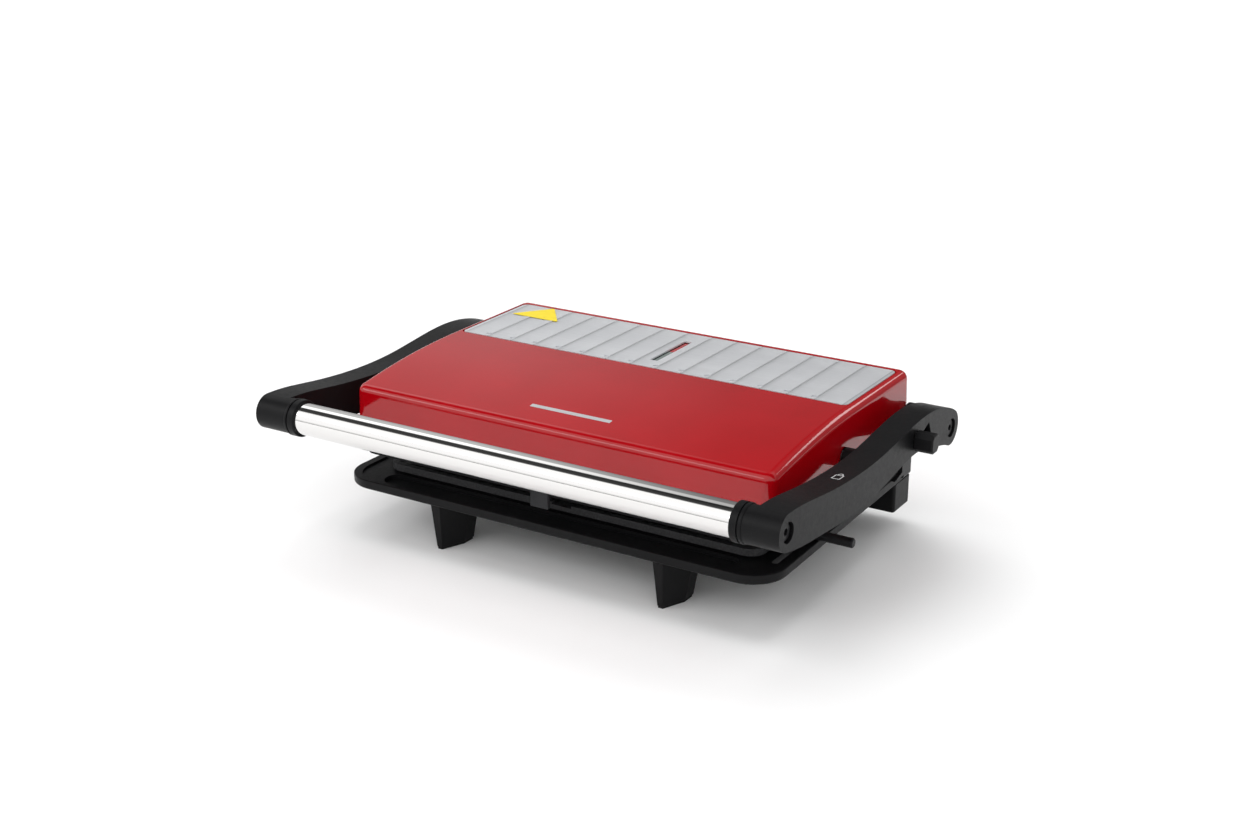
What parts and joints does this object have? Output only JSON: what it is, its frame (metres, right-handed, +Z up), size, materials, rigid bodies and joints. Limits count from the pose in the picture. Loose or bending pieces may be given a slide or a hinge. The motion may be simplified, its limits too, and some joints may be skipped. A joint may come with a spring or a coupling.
{
  "type": "panini press",
  "caption": "Contact grill with a red floating lid, louvred metal trim, black side arms joined by a polished tube handle, ribbed plates and a slim black base on legs.",
  "frame": {"origin": "bottom centre of the whole press, on the worktop", "axes": "+X to the press's right (the release button's side), -Y towards the handle at the front, +Z up"},
  "size_m": [0.3726, 0.2528, 0.1035],
  "materials": {
    "black_plastic": "fine moulded texture, satin black",
    "rubber": "soft black rubber",
    "red_enamel": "high-gloss red paint",
    "trim_aluminium": "satin pressed sheet",
    "plate_coating": "die-cast aluminium with black non-stick coating",
    "polished_steel": "polished stainless steel tube",
    "element_steel": "heat-tinted steel sheath",
    "zinc_steel": "zinc-plated steel",
    "black_steel": "black coated steel",
    "tab_plastic": "dark grey moulded plastic",
    "nylon": "natural nylon",
    "shield_aluminium": "plain thin sheet",
    "ceramic": "glazed ceramic",
    "wire_insulation": "silicone insulated lead",
    "red_lens": "translucent red",
    "green_lens": "translucent grey-green, unlit",
    "lamp_glass": "small neon lamps"
  },
  "bodies": {
    "base": {"lower_housing": "black_plastic", "rear_bar": "black_plastic", "cord_gland": "black_plastic", "belly_pan": "black_plastic", "pan_screws": "zinc_steel", "front_leg_right": "black_plastic", "front_leg_left": "black_plastic", "front_pads": "rubber", "rear_feet": "rubber", "lower_element": "element_steel", "lower_plate": "plate_coating", "plate_clamps": "zinc_steel", "lower_plate_screws": "zinc_steel", "terminal_block": "nylon", "lower_wiring": "wire_insulation", "thermostat": "ceramic", "hinge_bracket_right": "black_steel", "hinge_bracket_left": "black_steel", "bracket_screws": "zinc_steel", "hinge_pin_right": "black_steel", "hinge_pin_left": "black_steel"},
    "handle_arms": {"arm_right": "black_plastic", "arm_left": "black_plastic", "arm_liner_right": "black_plastic", "arm_liner_left": "black_plastic", "handle_tube": "polished_steel", "collar_right": "black_plastic", "collar_left": "black_plastic", "handle_screws": "black_steel", "float_pins": "zinc_steel", "float_clips": "zinc_steel", "float_bushes": "black_plastic"},
    "upper_unit": {"top_cover": "red_enamel", "trim_panel": "trim_aluminium", "lamp_bezel": "black_plastic", "green_lens": "green_lens", "red_lens": "red_lens", "lamp_holder": "black_plastic", "neon_lamps": "lamp_glass", "upper_frame": "black_plastic", "lock_keeper": "black_plastic", "front_tab": "tab_plastic", "upper_element": "element_steel", "upper_plate": "plate_coating", "heat_shield": "shield_aluminium", "upper_plate_screws": "zinc_steel", "cover_screws": "zinc_steel", "upper_thermostat": "ceramic", "thermal_fuse": "ceramic", "upper_wiring": "wire_insulation"},
    "release": {"release_button": "black_plastic", "release_latch": "zinc_steel"},
    "lock": {"lock_slider": "black_steel", "lock_rod": "black_steel"}
  },
  "joints": [
    {"name": "main_hinge", "type": "hinge", "parent": "base", "child": "handle_arms", "pos_m": [-0.00625, 0.1108, 0.0725], "axis": [-1, 0, 0], "range_deg": [0, 180]},
    {"name": "float_hinge", "type": "hinge", "parent": "handle_arms", "child": "upper_unit", "pos_m": [-0.00625, 0.0211, 0.0765], "axis": [1, 0, 0], "range_deg": [-2, 2], "stiffness_Nm_per_rad": 8},
    {"name": "release_slide", "type": "slide", "parent": "handle_arms", "child": "release", "axis": [0, 1, 0], "range_m": [0, 0.012], "stiffness_N_per_m": 250, "springref_m": -0.002},
    {"name": "lock_slide", "type": "slide", "parent": "base", "child": "lock", "axis": [0, -1, 0], "range_m": [0, 0.03]}
  ]
}
